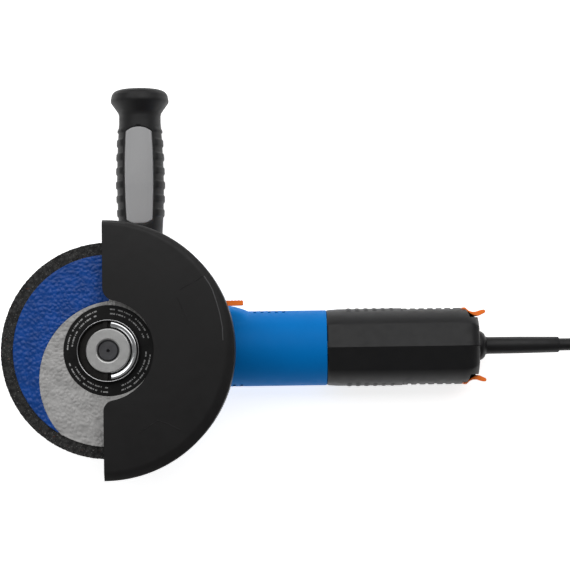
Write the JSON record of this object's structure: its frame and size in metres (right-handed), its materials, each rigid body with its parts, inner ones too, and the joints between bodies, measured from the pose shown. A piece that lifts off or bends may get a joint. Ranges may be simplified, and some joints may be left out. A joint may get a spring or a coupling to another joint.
{
  "type": "angle grinder",
  "caption": "Corded angle grinder lying on its back: cutting disc, half guard, side handle, slim motor body and a coiled lead.",
  "frame": {"origin": "centre of the gear case's flat back face, on the spindle axis, with the tool lying on its back", "axes": "+X along the motor to the tail, +Y to the side handle, +Z along the spindle to the disc"},
  "size_m": [0.5974, 0.2793, 0.102],
  "materials": {
    "cast": "black painted die cast",
    "blue": "satin moulded",
    "black": "satin moulded",
    "orange": "satin moulded",
    "steel": "ground",
    "dark_steel": "blackened",
    "bright_steel": "polished",
    "nut_grey": "turned",
    "sheet_black": "satin powder coat",
    "rubber": "matt",
    "grip_black": "soft matt",
    "grip_grey": "soft matt",
    "copper": "turned",
    "brass": "stamped",
    "graphite": "matt",
    "abrasive": "coarse grit with a printed label",
    "potting": "potted"
  },
  "bodies": {
    "housing": {"gear_case": "cast", "bearing_cover": "cast", "motor_housing": "blue", "handle_shell_left": "black", "handle_shell_right": "black", "dust_screen_left": "black", "dust_screen_right": "black", "stator": "dark_steel", "air_baffle": "black", "rotor_bearing_front": "steel", "rotor_bearing_rear": "steel", "end_bracket": "black", "brush_holder_upper": "brass", "brush_holder_lower": "brass", "spindle_bearing_inner": "steel", "spindle_bearing_outer": "steel", "lever_pin": "steel", "switch_unit": "black", "control_module": "potting", "bend_sleeve": "rubber", "cable_clamp": "black", "side_grip": "grip_black", "grip_inlay": "grip_grey", "handle_stud": "steel", "power_cable": "rubber", "cable_coil": "rubber", "cable_tail": "rubber", "plug_body": "black", "plug_pin_1": "steel", "plug_pin_2": "steel", "cover_screw_1": "dark_steel", "cover_screw_2": "dark_steel", "cover_screw_3": "dark_steel", "cover_screw_4": "dark_steel"},
    "spindle_set": {"spindle": "dark_steel", "bevel_gear": "dark_steel", "backing_flange": "steel", "cutting_disc": "abrasive", "nut_body": "dark_steel", "nut_core": "nut_grey"},
    "rotor": {"rotor_shaft": "steel", "rotor_core": "dark_steel", "commutator": "copper", "fan": "black", "pinion": "steel"},
    "guard": {"guard_shell": "sheet_black", "guard_cover": "sheet_black", "guard_collar": "steel"},
    "guard_lever": {"guard_lever": "orange"},
    "spindle_lock": {"lock_button": "black", "lock_pin": "steel"},
    "switch": {"switch_slider": "black"},
    "tab_left": {"screen_tab_left": "orange"},
    "tab_right": {"screen_tab_right": "orange"},
    "brush_upper": {"brush_upper": "graphite"},
    "brush_lower": {"brush_lower": "graphite"},
    "bail": {"nut_bail": "bright_steel"}
  },
  "joints": [
    {"name": "spindle_spin", "type": "hinge", "parent": "housing", "child": "spindle_set", "pos_m": [0, 0, 0], "axis": [0, 0, 1], "continuous": true},
    {"name": "rotor_spin", "type": "hinge", "parent": "housing", "child": "rotor", "pos_m": [0, 0, 0.028], "axis": [1, 0, 0], "continuous": true},
    {"name": "guard_turn", "type": "hinge", "parent": "housing", "child": "guard", "pos_m": [0, 0, 0], "axis": [0, 0, 1], "range_deg": [-90, 90]},
    {"name": "guard_lever_swing", "type": "hinge", "parent": "housing", "child": "guard_lever", "pos_m": [0.033, 0.027, 0], "axis": [0, 0, 1], "range_deg": [0, 8], "stiffness_Nm_per_rad": 0.5},
    {"name": "lock_press", "type": "slide", "parent": "housing", "child": "spindle_lock", "axis": [0, 0, 1], "range_m": [0, 0.0025], "stiffness_N_per_m": 400},
    {"name": "switch_slide", "type": "slide", "parent": "housing", "child": "switch", "axis": [-1, 0, 0], "range_m": [0, 0.005]},
    {"name": "tab_left_swing", "type": "hinge", "parent": "housing", "child": "tab_left", "pos_m": [0.251, 0.0265, 0.028], "axis": [0, 0, 1], "range_deg": [0, 8], "stiffness_Nm_per_rad": 0.2},
    {"name": "tab_right_swing", "type": "hinge", "parent": "housing", "child": "tab_right", "pos_m": [0.251, -0.0265, 0.028], "axis": [0, 0, -1], "range_deg": [0, 8], "stiffness_Nm_per_rad": 0.2},
    {"name": "brush_upper_slide", "type": "slide", "parent": "housing", "child": "brush_upper", "axis": [0, 0, 1], "range_m": [0, 0.002], "stiffness_N_per_m": 200},
    {"name": "brush_lower_slide", "type": "slide", "parent": "housing", "child": "brush_lower", "axis": [0, 0, -1], "range_m": [0, 0.002], "stiffness_N_per_m": 200},
    {"name": "bail_fold", "type": "hinge", "parent": "spindle_set", "child": "bail", "pos_m": [0, 0, 0.0952], "axis": [0, -1, 0], "range_deg": [0, 90]}
  ],
  "couplings": [
    {"joint": "rotor_spin", "follows": "spindle_spin", "ratio": -3}
  ]
}
